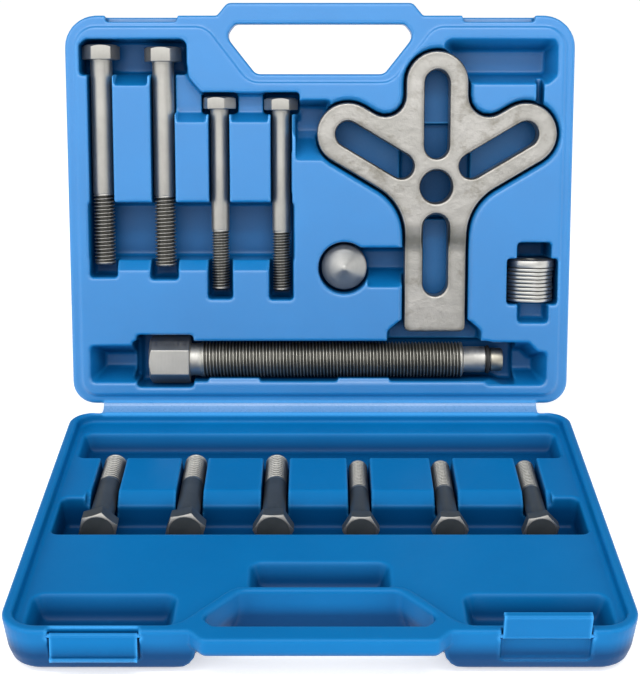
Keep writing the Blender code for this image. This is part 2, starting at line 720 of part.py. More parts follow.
def lid_foot_reach():
    """How far the lid's feet reach past the hinge axis, so that they just clear the table."""
    lean = math.radians(OPEN_ANGLE - 90.0)
    depth = LID_DEPTH - 0.4
    return (BASE_DEPTH - depth * math.sin(lean) - FOOT_FLOOR_GAP) / math.cos(lean)


# ---------------------------------------------------------------- latches


def build_latch(name, material):
    """A latch about its own hinge line, standing up in +z, with its hook towards the case (+y)."""
    half = LATCH_WIDTH / 2
    inner, outer = LATCH_THICKNESS / 2, -LATCH_THICKNESS / 2
    top = LATCH_HEIGHT
    profile = [
        (outer, 0.0), (outer, top - 0.6), (outer + 0.6, top), (LATCH_HOOK - 0.6, top),
        (LATCH_HOOK, top - 0.7), (LATCH_HOOK, top - 1.3), (inner, top - LATCH_HOOK_HEIGHT), (inner, 0.0),
    ]
    count = len(profile)
    vertices = [(x, y, z) for x in (-half, half) for y, z in profile]
    faces = [list(range(count))[::-1], list(range(count, 2 * count))]
    faces += [[k, (k + 1) % count, (k + 1) % count + count, k + count] for k in range(count)]
    latch = add_object(name, vertices, faces, material)
    barrel = turned("barrel", [(-half, LATCH_BARREL), (half, LATCH_BARREL)], steps=16)
    pin = turned("pin", [(-half - TRUNNION_LENGTH, TRUNNION_RADIUS), (half + TRUNNION_LENGTH, TRUNNION_RADIUS)], steps=12)
    combine(latch, [barrel, pin], "UNION")
    smooth(latch)
    return latch


# ---------------------------------------------------------------- tools


def build_yoke(material):
    corners = yoke_outline()
    rings = [
        (outline(corners, -YOKE_CHAMFER, 5), -YOKE_THICKNESS),
        (outline(corners, 0.0, 5), -YOKE_THICKNESS + YOKE_CHAMFER),
        (outline(corners, 0.0, 5), -YOKE_CHAMFER),
        (outline(corners, -YOKE_CHAMFER, 5), 0.0),
    ]
    yoke = loft("puller_yoke", rings, material)
    step = side_prism(
        "cutter",
        [(-FOOT_ARM_LENGTH - 5, 2.0), (-FOOT_ARM_LENGTH - 5, -YOKE_STEP), (-YOKE_STEP_END, -YOKE_STEP),
         (-YOKE_STEP_START, 0.0), (-YOKE_STEP_START, 2.0)],
        -20.0, 20.0,
    )
    cutters = [step]
    for angle, far in ((90.0, SLOT_FAR), (-90.0, FOOT_SLOT_FAR), (math.degrees(ARM_RISE), SLOT_FAR),
                       (180.0 - math.degrees(ARM_RISE), SLOT_FAR)):
        cutters.append(slot_cutter(angle, far))
    bore = turned(
        "cutter",
        [(-1.0, BORE_RADIUS + 1.8), (0.0, BORE_RADIUS + 0.8), (0.8, BORE_RADIUS),
         (YOKE_THICKNESS - 0.8, BORE_RADIUS), (YOKE_THICKNESS, BORE_RADIUS + 0.8), (YOKE_THICKNESS + 1.0, BORE_RADIUS + 1.8)],
        steps=24,
    )
    bore.rotation_euler = (0.0, math.pi / 2, 0.0)
    cutters.append(bore)
    combine_group(yoke, cutters, "DIFFERENCE")
    smooth(yoke)
    return yoke


def slot_cutter(angle, far):
    """A round-ended slot along one arm, chamfered at both faces."""
    radius = SLOT_RADIUS
    corners = [
        (SLOT_NEAR - radius, -radius, radius), (far + radius, -radius, radius),
        (far + radius, radius, radius), (SLOT_NEAR - radius, radius, radius),
    ]
    wide = YOKE_CHAMFER
    drop = YOKE_STEP if angle < 0 else 0.0
    rings = [
        (outline(corners, wide, 5), -YOKE_THICKNESS - 1.0),
        (outline(corners, wide, 5), -YOKE_THICKNESS),
        (outline(corners, 0.0, 5), -YOKE_THICKNESS + wide),
        (outline(corners, 0.0, 5), -wide - drop),
        (outline(corners, wide, 5), -drop),
        (outline(corners, wide, 5), 1.0),
    ]
    cutter = loft("cutter", rings)
    cutter.rotation_euler = (0.0, 0.0, math.radians(angle))
    return cutter


def build_bolt(name, size, length, turn, material):
    """A hex bolt along +x from its head's outer face; the thread is a plain cylinder."""
    radius, flats, head = size
    bolt = hexagon_bar(name, flats, 0.0, head, 1.0, turn, material)
    shank = turned(
        "shank", [(head - 0.5, radius), (head + length - 0.9, radius), (head + length, radius - 0.9)], steps=20
    )
    combine(bolt, [shank], "UNION")
    smooth(bolt)
    return bolt


def build_screw(material):
    screw = hexagon_bar("forcing_screw", SCREW_HEAD_FLATS, 0.0, SCREW_HEAD_LENGTH, 1.4, 0.0, material)
    shaft = turned(
        "shaft",
        [
            (SCREW_HEAD_LENGTH - 0.5, SCREW_NECK_RADIUS), (SCREW_NECK_END, SCREW_NECK_RADIUS),
            (SCREW_NECK_END + 1.5, SCREW_THREAD_RADIUS), (SCREW_THREAD_END - 1.2, SCREW_THREAD_RADIUS),
            (SCREW_THREAD_END, SCREW_NOSE_RADIUS), (SCREW_GROOVE_START, SCREW_NOSE_RADIUS),
            (SCREW_GROOVE_START + 0.01, SCREW_GROOVE_RADIUS), (SCREW_GROOVE_END, SCREW_GROOVE_RADIUS),
            (SCREW_GROOVE_END + 0.01, SCREW_TIP_RADIUS), (SCREW_TIP_END - 0.8, SCREW_TIP_RADIUS),
            (SCREW_TIP_END, SCREW_TIP_RADIUS - 0.8),
        ],
        steps=24,
    )
    combine(screw, [shaft], "UNION")
    smooth(screw)
    return screw


def build_o_ring(material):
    """A ring of round section about x, clear of the groove all round."""
    major = SCREW_GROOVE_RADIUS + 0.15 + O_RING_MINOR
    steps, sides = 20, 8
    vertices = []
    for k in range(steps):
        around = 2 * math.pi * k / steps
        for x, out in circle(O_RING_MINOR, sides):
            radius = major + out
            vertices.append((x, radius * math.cos(around), radius * math.sin(around)))
    faces = []
    for k in range(steps):
        for j in range(sides):
            a, b = k * sides + j, k * sides + (j + 1) % sides
            c, d = ((k + 1) % steps) * sides + (j + 1) % sides, ((k + 1) % steps) * sides + j
            faces.append([a, b, c, d])
    ring = add_object("screw_o_ring", vertices, faces, material)
    smooth(ring)
    return ring


def build_cone(material):
    profile = [
        (0.0, CONE_RADIUS - 0.6), (0.6, CONE_RADIUS), (CONE_BASE_HEIGHT, CONE_RADIUS),
        (CONE_HEIGHT, 0.25),
    ]
    cone = turned("cone_tip", profile, material, steps=32)
    smooth(cone)
    return cone


def build_washer(name, material):
    steps = 20
    vertices = []
    for y in (0.0, WASHER_THICKNESS):
        for radius in (WASHER_RADIUS, WASHER_BORE):
            vertices += [(x, y, z) for x, z in circle(radius, steps)]
    faces = []
    for k in range(steps):
        n = (k + 1) % steps
        low_out, low_in, high_out, high_in = 0, steps, 2 * steps, 3 * steps
        faces.append([low_out + k, low_out + n, low_in + n, low_in + k])
        faces.append([high_out + n, high_out + k, high_in + k, high_in + n])
        faces.append([low_out + n, low_out + k, high_out + k, high_out + n])
        faces.append([low_in + k, low_in + n, high_in + n, high_in + k])
    washer = add_object(name, vertices, faces, material)
    smooth(washer)
    return washer


# ---------------------------------------------------------------- assembly


def make_frame(name, tilt):
    """An empty on the hinge axis, turned with the tray that it carries."""
    frame = bpy.data.objects.new(name, None)
    frame.location = (0.0, HINGE_Y * MM, BASE_DEPTH * MM)
    frame.rotation_euler = (tilt, 0.0, 0.0)
    bpy.context.scene.collection.objects.link(frame)
    return frame


def place(obj, frame, location, rotation=(0.0, 0.0, 0.0)):
    obj.parent = frame
    obj.location = [c * MM for c in location]
    obj.rotation_euler = rotation


def main():
    clear_scene()
    blue = make_material("blue_plastic", BLUE, 0.0, 0.38)
    steel = make_material("steel", STEEL, 1.0, 0.4)
    dark = make_material("dark_steel", DARK_STEEL, 1.0, 0.45)
    rubber = make_material("rubber", BLACK, 0.0, 0.7)
    lid_frame = make_frame("lid_frame", LID_TILT)
    base_frame = make_frame("base_frame", 0.0)

    lid, base = build_case(blue)
    place(lid, lid_frame, (0.0, 0.0, 0.0))
    place(base, base_frame, (0.0, 0.0, 0.0))
    place(build_latch("latch_left", blue), base_frame, (-LATCH_X, -LATCH_AXIS_V, LATCH_AXIS_Z),
          (LATCH_LEFT_ANGLE, 0.0, 0.0))
    place(build_latch("latch_right", blue), base_frame, (LATCH_X, -LATCH_AXIS_V, LATCH_AXIS_Z),
          (LATCH_RIGHT_ANGLE, 0.0, 0.0))

    place(build_yoke(steel), lid_frame, (YOKE_X, YOKE_V, YOKE_TOP))
    place(build_screw(dark), lid_frame, (SCREW_START_X, SCREW_V, SCREW_Z))
    groove = (SCREW_GROOVE_START + SCREW_GROOVE_END) / 2
    place(build_o_ring(rubber), lid_frame, (SCREW_START_X + groove, SCREW_V, SCREW_Z))
    place(build_cone(steel), lid_frame, (CONE_X, CONE_V, CONE_FLOOR), (0.0, -math.pi / 2, 0.0))
    for name, (size, x, v, length, turn) in LONG_BOLTS.items():
        bolt = build_bolt(name, size, length, math.radians(turn), steel)
        place(bolt, lid_frame, (x, v, LONG_BOLT_Z), (0.0, 0.0, -math.pi / 2))
    for name, (size, x, v, length, turn) in SHORT_BOLTS.items():
        bolt = build_bolt(name, size, length, math.radians(turn), dark)
        place(bolt, base_frame, (x, -v, SHORT_BOLT_Z), (0.0, 0.0, math.pi / 2))
    for k in range(WASHER_COUNT):
        washer = build_washer(f"washer_{k + 1:02d}", steel)
        tilt = WASHER_TOP_TILT if k == WASHER_COUNT - 1 else 0.0
        v = WASHER_START + k * WASHER_PITCH + WASHER_RADIUS * math.sin(tilt)
        place(washer, lid_frame, (WASHER_X + WASHER_SHIFT[k], v, WASHER_Z), (tilt, 0.0, 0.0))


main()
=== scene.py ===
"""Looks of the gear puller kit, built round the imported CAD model.

The case halves are remeshed from their CAD solids, so that every edge gets the soft radius of a
blow moulding. The screw and the bolts are turned again with real helical threads. Positions are
read from the frame; sizes are in millimetres where a name or a comment says so.
"""

import json
import math

import bmesh
import bpy
import numpy as np
from mathutils import Matrix, Vector


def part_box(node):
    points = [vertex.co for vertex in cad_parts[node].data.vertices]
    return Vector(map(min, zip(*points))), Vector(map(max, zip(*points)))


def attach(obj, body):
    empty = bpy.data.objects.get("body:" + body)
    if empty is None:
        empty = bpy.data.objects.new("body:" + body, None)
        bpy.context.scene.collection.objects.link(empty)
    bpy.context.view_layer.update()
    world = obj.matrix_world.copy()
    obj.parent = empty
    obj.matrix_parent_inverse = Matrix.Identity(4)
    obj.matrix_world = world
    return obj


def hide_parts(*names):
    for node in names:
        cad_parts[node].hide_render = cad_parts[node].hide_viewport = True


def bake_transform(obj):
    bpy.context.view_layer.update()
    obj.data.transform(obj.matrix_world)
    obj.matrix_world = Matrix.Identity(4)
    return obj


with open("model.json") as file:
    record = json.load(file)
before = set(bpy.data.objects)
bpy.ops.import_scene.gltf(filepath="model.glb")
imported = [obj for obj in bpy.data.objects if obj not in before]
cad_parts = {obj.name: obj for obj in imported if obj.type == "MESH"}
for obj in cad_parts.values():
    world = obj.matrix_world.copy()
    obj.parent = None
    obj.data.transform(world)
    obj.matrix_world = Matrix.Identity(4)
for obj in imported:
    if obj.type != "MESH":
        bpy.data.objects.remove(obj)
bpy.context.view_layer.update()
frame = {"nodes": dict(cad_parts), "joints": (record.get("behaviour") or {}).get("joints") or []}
NODES = frame["nodes"]
JOINTS = {joint["name"]: joint for joint in frame["joints"]}
MM = 0.001

HINGE = Vector(JOINTS["case_hinge"]["pos_m"])
LID_REAR, BASE_REAR = 2.0, 3.6  # how far the rear walls stand from the hinge axis, in millimetres
RIGHT = Vector((1.0, 0.0, 0.0))
LID_OUT = Vector(JOINTS["yoke_lift"]["axis"]).normalized()
LID_UP = LID_OUT.cross(RIGHT)
BASE_OUT = Vector((0.0, 0.0, 1.0))
BASE_FRONT = Vector((0.0, -1.0, 0.0))

# Angles of the spokes of every turned piece: closer together round the six corners of a hexagon
SECTOR = [0.0, 8.0, 16.0, 23.0, 27.0, 28.8, 30.0, 31.2, 33.0, 37.0, 44.0, 52.0]
SPOKES = np.radians([60.0 * k + a for k in range(6) for a in SECTOR])
ROWS_PER_TURN = 16

# Bolt sizes in millimetres: the shank's radius, the head across its flats and along the bolt, the
# thread's pitch, and the thread's length on the long bolt and on the short one
BOLT_SIZES = {
    "3_8": {
        "radius": 4.76, "flats": 14.3, "head": 6.35, "pitch": 1.5875,
        "long_thread": 31.7, "short_thread": 20.5,
    },
    "m8": {
        "radius": 4.0, "flats": 13.0, "head": 5.3, "pitch": 1.25,
        "long_thread": 27.0, "short_thread": 22.5,
    },
}
# The forcing screw, in millimetres: neck, thread, nose, groove and tip are radii, the others but the flats
# and the pitch are places along it from the head's face
SCREW = {
    "flats": 19.0, "head": 18.0, "neck": 7.3, "neck_end": 23.0,
    "thread": 8.0, "thread_end": 141.0, "pitch": 1.5,
    "nose": 5.85, "groove_start": 151.0, "groove_end": 153.4, "groove": 4.5, "tip": 5.25,
}
# A thread's depth, half the width of its root and the width of a flank, as shares of the pitch
THREAD_DEPTH, ROOT_HALF, FLANK = 0.6134, 0.11, 0.30
# The roots below that share get a dark colour: dirt and painted shade in the grooves
CREST_SHARE = 0.45  # the share of a thread's depth, from the crest down, that stays bright
CONE_BASE = 9.0  # the height of the cylinder under the cone tip's cone, in millimetres
WASHER_BORE = 5.2  # a radius, in millimetres

# The nubs that hold the long bolts and the screw in their channels, in millimetres: sizes along x, up and
# out, and places up from the hinge and out of the parting plane
BOLT_NUB, BOLT_NUB_UP, BOLT_NUB_OUT, BOLT_NUB_GAP = (1.7, 17.5, 3.6), 105.5, -1.3, 1.55
SCREW_NUB, SCREW_NUB_UP, SCREW_NUB_OUT, SCREW_NUBS_X = (23.0, 1.8, 5.0), 12.6, -2.4, (-38.5, 19.5)

# The living hinge's strip, in millimetres: half its width, its thickness, how far it lies below the parting
# plane, and how far its ends run into the rear walls
STRIP_HALF, STRIP_THICKNESS, STRIP_DEPTH, STRIP_ROOT = 97.2, 1.1, 0.75, 1.1
# The cut that makes room for it, in millimetres: its width, its height, how far below the parting plane its
# middle lies, how far it runs past the hinge axis, and how far short of the rear wall it stops
WEB_WIDTH, WEB_HEIGHT, WEB_DEPTH, WEB_PAST, WEB_SHORT = 197.0, 1.9, 0.65, 2.05, 0.15

# The plastic's two face colours and the painted shade of its deep recesses: the lid, the base, the living
# hinge
BLUE = ((0.0005, 0.172, 0.470), (0.001, 0.190, 0.512), (0.0005, 0.056, 0.182))
# The base's colours are a darker copy of the lid's: painted shade on the same plastic
SHADED_BLUE = ((0.0004, 0.140, 0.385), (0.0007, 0.156, 0.420), (0.0004, 0.030, 0.112))
# The living hinge's colours are paler than the lid's: a painted highlight where the strip catches the light
SHEEN_BLUE = ((0.12, 0.30, 0.58), (0.16, 0.34, 0.62), (0.02, 0.12, 0.30))
# Between these levels, in millimetres from the parting plane, each half turns from its face colour to the
# deep one: painted shade that grows with depth
LID_LEVELS = (-4.5, -21.0)
BASE_LEVELS = (-4.9, -10.8)
LEVEL_SHARE = 0.15  # what is left of the face colour at the deeper level
# How far openness is felt out, how open a recess is where its painted shade is darkest and lightest, and
# between which two values a face turns to the outside of the case
RECESS_REACH = 24.0 * MM
RECESS_DARK, RECESS_LIGHT = 0.26, 0.74
OUTSIDE_FROM, OUTSIDE_TO = 0.84, 0.97
# An edge's colour starts and is full where this share of the rays into the solid stays inside it
EDGE_START, EDGE_FULL = 0.88, 0.55
# The plastic's painted highlight along its edges: its colour, and how far it reaches
EDGE_HIGHLIGHT, EDGE_HIGHLIGHT_REACH = (0.05, 0.36, 0.80), 1.4 * MM
OCCLUSION_SAMPLES = 6

# The yoke's colours, and the reach of its dark edges
GROUND_STEEL = ((0.34, 0.33, 0.305), (0.45, 0.435, 0.41))
MILL_SKIN = (0.19, 0.175, 0.14)
DARK_EDGE, DARK_EDGE_REACH = (0.10, 0.095, 0.08), 3.0 * MM
JOGGLE_SKIN = (0.13, 0.13, 0.115)
# The dark band on the yoke's joggle, in millimetres: its height above the foot's end, how ragged it is,
# half the width where it is darkest, and how far it reaches below and above
JOGGLE_RISE, JOGGLE_RAGGED, JOGGLE_HALF, JOGGLE_BELOW, JOGGLE_ABOVE = 40.5, 6.0, 1.0, 6.5, 9.0

# The voxels that the case halves and the yoke are remeshed with
VOXEL = 0.55 * MM
YOKE_VOXEL = 0.32 * MM

# The camera's place in metres, its tilt from straight down in degrees, its lens and sensor in millimetres
CAMERA_PLACE, CAMERA_TILT = (0.0, -0.4970, 0.3044), 66.9
CAMERA_LENS, CAMERA_SENSOR = 77.13, 36.0
# The lights' names, places and sizes in metres, and powers in watts
LIGHTS = (
    ("front_box", (-0.3, -1.3, 1.25), (3.0, 1.9), 29.0),
    ("side_box_0", (-1.3, -0.35, 0.6), (1.2, 1.0), 4.5),
    ("side_box_2", (1.3, -0.35, 0.6), (1.2, 1.0), 4.5),
    ("top_strip", (0.0, -0.85, 1.55), (1.6, 0.18), 9.0),
)
LIGHT_TARGET = (0.0, 0.0, 0.1)
FLOOR_HALF = 4.0  # metres


# ---------------------------------------------------------------- materials


def new_material(name, colour, metallic, roughness):
    material = bpy.data.materials.new(name)
    material.use_nodes = True
    shader = material.node_tree.nodes["Principled BSDF"]
    shader.inputs["Base Color"].default_value = (*colour, 1.0)
    shader.inputs["Metallic"].default_value = metallic
    shader.inputs["Roughness"].default_value = roughness
    return material, material.node_tree, shader


def add(tree, kind, **settings):
    node = tree.nodes.new(kind)
    for key, value in settings.items():
        setattr(node, key, value)
    return node


def coordinates(tree, scale=(1.0, 1.0, 1.0)):
    """Object coordinates, stretched by scale."""
    place = add(tree, "ShaderNodeTexCoord")
    mapping = add(tree, "ShaderNodeMapping")
    mapping.inputs["Scale"].default_value = scale
    tree.links.new(place.outputs["Object"], mapping.inputs["Vector"])
    return mapping.outputs["Vector"]


def noise(tree, vector, scale, detail=3.0, roughness=0.5):
    texture = add(tree, "ShaderNodeTexNoise")
    texture.inputs["Scale"].default_value = scale
    texture.inputs["Detail"].default_value = detail
    texture.inputs["Roughness"].default_value = roughness
    tree.links.new(vector, texture.inputs["Vector"])
    return texture.outputs["Fac"]


def spread(tree, value, low, high, to_low, to_high):
    """Maps the span low to high of a value onto to_low to to_high, clamped."""
    node = add(tree, "ShaderNodeMapRange")
    for name, number in (("From Min", low), ("From Max", high), ("To Min", to_low), ("To Max", to_high)):
        node.inputs[name].default_value = number
    tree.links.new(value, node.inputs["Value"])
    return node.outputs["Result"]


def combined(tree, operation, first, second):
    node = add(tree, "ShaderNodeMath", operation=operation)
    tree.links.new(first, node.inputs[0])
    tree.links.new(second, node.inputs[1])
    return node.outputs["Value"]


def openness(tree, reach, inside=False):
    """How open the surface is within reach, or how open the solid behind it is, from 0 to 1."""
    node = add(tree, "ShaderNodeAmbientOcclusion", samples=OCCLUSION_SAMPLES, inside=inside)
    node.inputs["Distance"].default_value = reach
    return node.outputs["AO"]


def height_along(tree, place, direction):
    """How far a place lies along a direction, in metres."""
    node = add(tree, "ShaderNodeVectorMath", operation="DOT_PRODUCT")
    node.inputs[1].default_value = direction
    tree.links.new(place, node.inputs[0])
    return node.outputs["Value"]


def blend_colours(tree, factor, first, second):
    node = add(tree, "ShaderNodeMix", data_type="RGBA")
    tree.links.new(factor, node.inputs["Factor"])
    for socket, colour in ((node.inputs["A"], first), (node.inputs["B"], second)):
        if isinstance(colour, tuple):
            socket.default_value = (*colour, 1.0)
        else:
            tree.links.new(colour, socket)
    return node.outputs["Result"]


def add_bump(tree, shader, height, distance, strength=1.0, under=None):
    bump = add(tree, "ShaderNodeBump")
    bump.inputs["Distance"].default_value = distance
    bump.inputs["Strength"].default_value = strength
    tree.links.new(height, bump.inputs["Height"])
    if under:
        tree.links.new(under, bump.inputs["Normal"])
    tree.links.new(bump.outputs["Normal"], shader.inputs["Normal"])
    return bump.outputs["Normal"]


def plastic_material(name, out, colours, levels, gloss, rough, highlight_share=0.8):
    """Blow-moulded polyethylene: a slow wave in the skin, a fine mould grain, and faint scuffs.

    Painted shade darkens the skin and lowers its specular level where it runs down into the recesses, and a
    painted highlight makes it pale along its edges.
    Levels are measured from the parting plane along the direction out of the tray, and count only where the
    skin isn't on the outside.
    """
    first, second, deep = colours
    material, tree, shader = new_material(name, second, 0.0, rough)
    place = coordinates(tree)
    tint = spread(tree, noise(tree, place, 28.0, 4.0, 0.55), 0.3, 0.7, 0.0, 1.0)
    colour = blend_colours(tree, tint, first, second)
    around = openness(tree, RECESS_REACH)
    recess = spread(tree, around, RECESS_DARK, RECESS_LIGHT, 0.0, 1.0)
    shallow, lowest = (HINGE.dot(out) + level * MM for level in levels)
    depth = spread(tree, height_along(tree, place, out), lowest, shallow, LEVEL_SHARE, 1.0)
    outside = spread(tree, around, OUTSIDE_FROM, OUTSIDE_TO, 0.0, 1.0)
    # Painted shade: 0 deep in the recesses, 1 on open faces and outside; it darkens the colour and specular
    # level
    drawn = combined(tree, "MINIMUM", recess, combined(tree, "MAXIMUM", depth, outside))
    colour = blend_colours(tree, drawn, deep, colour)
    # Painted highlight: a pale colour along the edges
    edge = spread(tree, openness(tree, EDGE_HIGHLIGHT_REACH, True), EDGE_START, EDGE_FULL, 0.0, highlight_share)
    tree.links.new(blend_colours(tree, edge, colour, EDGE_HIGHLIGHT), shader.inputs["Base Color"])
    tree.links.new(spread(tree, drawn, 0.0, 1.0, 0.1, gloss), shader.inputs["Specular IOR Level"])
    scuff = noise(tree, coordinates(tree, (1.0, 1.0, 3.0)), 420.0, 5.0, 0.6)
    tree.links.new(spread(tree, scuff, 0.35, 0.75, rough - 0.05, rough + 0.05), shader.inputs["Roughness"])
    wave = add_bump(tree, shader, noise(tree, place, 55.0, 2.0), 0.0004, 0.30)
    add_bump(tree, shader, noise(tree, place, 1500.0, 3.0, 0.6), 0.00006, 0.35, wave)
    return material


def steel_material(name, dark, light, rough, stretch=(1.0, 1.0, 1.0), scratch=0.3, metallic=1.0):
    """Plain steel: uneven brightness, with a fine grain stretched along the tool's work marks."""
    material, tree, shader = new_material(name, light, metallic, rough)
    place = coordinates(tree)
    patch = spread(tree, noise(tree, place, 60.0, 5.0, 0.6), 0.35, 0.65, 0.0, 1.0)
    tree.links.new(blend_colours(tree, patch, dark, light), shader.inputs["Base Color"])
    marks = noise(tree, coordinates(tree, stretch), 1.0, 4.0, 0.65)
    tree.links.new(spread(tree, marks, 0.3, 0.7, rough - 0.07, rough + 0.10), shader.inputs["Roughness"])
    add_bump(tree, shader, marks, 0.00003, scratch)
    return material


def yoke_material():
    """Ground forging: crossed scratches, mill skin left in patches and on the joggle, dark edges."""
    dull, bright = GROUND_STEEL
    material, tree, shader = new_material("yoke_steel", bright, 1.0, 0.37)
    place = coordinates(tree)
    patch = spread(tree, noise(tree, place, 45.0, 6.0, 0.62), 0.32, 0.68, 0.0, 1.0)
    ground = blend_colours(tree, patch, dull, bright)
    skin = spread(tree, noise(tree, place, 85.0, 5.0, 0.7), 0.52, 0.68, 0.0, 0.65)
    ground = blend_colours(tree, skin, ground, MILL_SKIN)
    edge = spread(tree, openness(tree, DARK_EDGE_REACH, True), EDGE_START, EDGE_FULL, 0.0, 0.8)
    ground = blend_colours(tree, edge, ground, DARK_EDGE)
    step = joggle_band(tree, place)
    tree.links.new(blend_colours(tree, step, ground, JOGGLE_SKIN), shader.inputs["Base Color"])
    fine = noise(tree, coordinates(tree, (900.0, 900.0, 160.0)), 1.0, 3.0, 0.7)
    cross = noise(tree, coordinates(tree, (160.0, 900.0, 900.0)), 1.0, 3.0, 0.7)
    rough = spread(tree, fine, 0.3, 0.7, 0.30, 0.44)
    tree.links.new(rough, shader.inputs["Roughness"])
    dents = add_bump(tree, shader, noise(tree, place, 190.0, 4.0, 0.6), 0.0005, 0.65)
    first = add_bump(tree, shader, fine, 0.00004, 0.35, dents)
    add_bump(tree, shader, cross, 0.00004, 0.25, first)
    return material


def joggle_band(tree, place):
    """How dark the mill skin is across the step between the yoke's boss and its foot."""
    darkest = 0.85
    foot = min(v.co.dot(LID_UP) for v in NODES["puller_yoke"].data.vertices)
    ragged = add(tree, "ShaderNodeMath", operation="MULTIPLY_ADD")
    tree.links.new(noise(tree, place, 140.0, 4.0, 0.6), ragged.inputs[0])
    ragged.inputs[1].default_value = JOGGLE_RAGGED * MM
    tree.links.new(height_along(tree, place, LID_UP), ragged.inputs[2])
    height = ragged.outputs["Value"]
    middle = foot + (JOGGLE_RISE + JOGGLE_RAGGED / 2) * MM
    half, below, above = JOGGLE_HALF * MM, JOGGLE_BELOW * MM, JOGGLE_ABOVE * MM
    rise = spread(tree, height, middle - below, middle - half, 0.0, darkest)
    fall = spread(tree, height, middle + half, middle + above, darkest, 0.0)
    return combined(tree, "MINIMUM", rise, fall)


def rubber_material():
    material, tree, shader = new_material("o_ring_rubber", (0.012, 0.012, 0.012), 0.0, 0.55)
    grain = noise(tree, coordinates(tree), 2500.0, 3.0)
    add_bump(tree, shader, grain, 0.00003, 0.3)
    tree.links.new(spread(tree, grain, 0.3, 0.7, 0.48, 0.62), shader.inputs["Roughness"])
    return material


def floor_material():
    material, _, shader = new_material("pale_floor", (0.93, 0.93, 0.93), 0.0, 0.7)
    shader.inputs["Specular IOR Level"].default_value = 0.2
    shader.inputs["Emission Color"].default_value = (1.0, 1.0, 1.0, 1.0)
    shader.inputs["Emission Strength"].default_value = 0.50
    return material


# ---------------------------------------------------------------- meshes


def mesh_object(name, vertices, faces, materials, matrix=None):
    mesh = bpy.data.meshes.new(name)
    mesh.from_pydata([tuple(v) for v in vertices], [], faces)
    for material in materials:
        mesh.materials.append(material)
    obj = bpy.data.objects.new(name, mesh)
    bpy.context.scene.collection.objects.link(obj)
    if matrix:
        obj.matrix_world = matrix
    return obj


def hexagon(flats, edge):
    """The radius of a hexagon with rounded corners along each spoke; a flat lies at angle 0."""
    from_corner = (SPOKES % (math.pi / 3)) - math.pi / 6
    centre = (flats / 2 - edge) / math.cos(math.pi / 6)
    on_flat = flats / 2 / np.cos(math.pi / 6 - np.abs(from_corner))
    reach = np.maximum(edge ** 2 - (centre * np.sin(from_corner)) ** 2, 0.0)
    on_arc = centre * np.cos(from_corner) + np.sqrt(reach)
    inside = centre * np.abs(np.sin(from_corner)) < edge / 2
    return np.where(inside, on_arc, on_flat)


def lathe(name, rows, materials, matrix, bright_from=None, turn=0.0):
    """A closed solid about x from rows (x, radius) in millimetres; a radius may vary by spoke.

    Faces beyond bright_from along x take the second material.
    """
    count = len(SPOKES)
    angles = SPOKES + turn
    points = []
    for x, radius in rows:
        xs = np.broadcast_to(np.asarray(x, float), (count,))
        rs = np.broadcast_to(np.asarray(radius, float), (count,))
        points.append(np.column_stack([xs, rs * np.cos(angles), rs * np.sin(angles)]))
    vertices = np.concatenate(points) * MM
    faces = [tuple(range(count))[::-1]]
    for i in range(len(rows) - 1):
        low, high = i * count, (i + 1) * count
        for k in range(count):
            n = (k + 1) % count
            faces.append((low + k, low + n, high + n, high + k))
    last = (len(rows) - 1) * count
    faces.append(tuple(range(last, last + count)))
    obj = mesh_object(name, vertices, faces, materials, matrix)
    shade(obj, 38.0)
    if bright_from is not None:
        for face in obj.data.polygons:
            face.material_index = 1 if face.center.x > bright_from * MM else 0
    return obj


def shade(obj, angle):
    obj.data.shade_smooth()
    obj.data.set_sharp_from_angle(angle=math.radians(angle))


def thread_rows(start, end, radius, pitch, fade):
    """Rows of a right-hand helical thread that runs out over fade at both ends."""
    count = int(round((end - start) / pitch * ROWS_PER_TURN))
    depth = THREAD_DEPTH * pitch
    rows = []
    for k in range(count + 1):
        x = start + (end - start) * k / count
        phase = (x / pitch - SPOKES / (2 * math.pi)) % 1.0
        flank = np.clip((np.abs(phase - 0.5) - ROOT_HALF) / FLANK, 0.0, 1.0)
        strength = min(1.0, (x - start) / fade, (end - x) / fade)
        rows.append((x, radius - depth * (1.0 - flank) * strength))
    return rows


def head_rows(flats, height, edge=0.45):
    """Rows of a hex head: a round face, the 30 degree chamfer that meets the flats in arcs, the flats."""
    outer = hexagon(flats, edge)
    face = flats / 2 - 0.35
    drop = np.maximum(outer - face, 0.0) * math.tan(math.radians(30.0))
    return [
        (0.0, face - 0.35), (0.06, face - 0.06), (drop * 0.5 + 0.08, (face + outer) / 2),
        (drop + 0.08, outer - 0.04), (drop + 0.32, outer), (height - 0.5, outer),
        (height - 0.2, outer - 0.06), (height, outer - 0.3),
    ]


def darken_roots(piece, start, end, radius, pitch):
    """Gives the grooves of a thread from start to end the last, dark material: dirt and painted shade."""
    root = radius - CREST_SHARE * THREAD_DEPTH * pitch
    for face in piece.data.polygons:
        centre = face.center / MM
        if start < centre.x < end and math.hypot(centre.y, centre.z) < root:
            face.material_index = len(piece.data.materials) - 1


def axis_frame(node, along, up):
    """The matrix of a turned tool, x along it from its first end, and its size along x, y and z."""
    along, up = Vector(along).normalized(), Vector(up).normalized()
    turn = Matrix((along, up.cross(along), up))
    points = [turn @ v.co for v in NODES[node].data.vertices]
    low = Vector([min(p[i] for p in points) for i in range(3)])
    high = Vector([max(p[i] for p in points) for i in range(3)])
    matrix = turn.transposed().to_4x4()
    matrix.translation = turn.transposed() @ Vector((low.x, (low.y + high.y) / 2, (low.z + high.z) / 2))
    return matrix, (high - low) / MM


def finish_piece(obj, body, nodes):
    """Hangs a piece on its body, in place of the CAD nodes that it shows."""
    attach(obj, body)
    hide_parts(*nodes)


# ---------------------------------------------------------------- tools


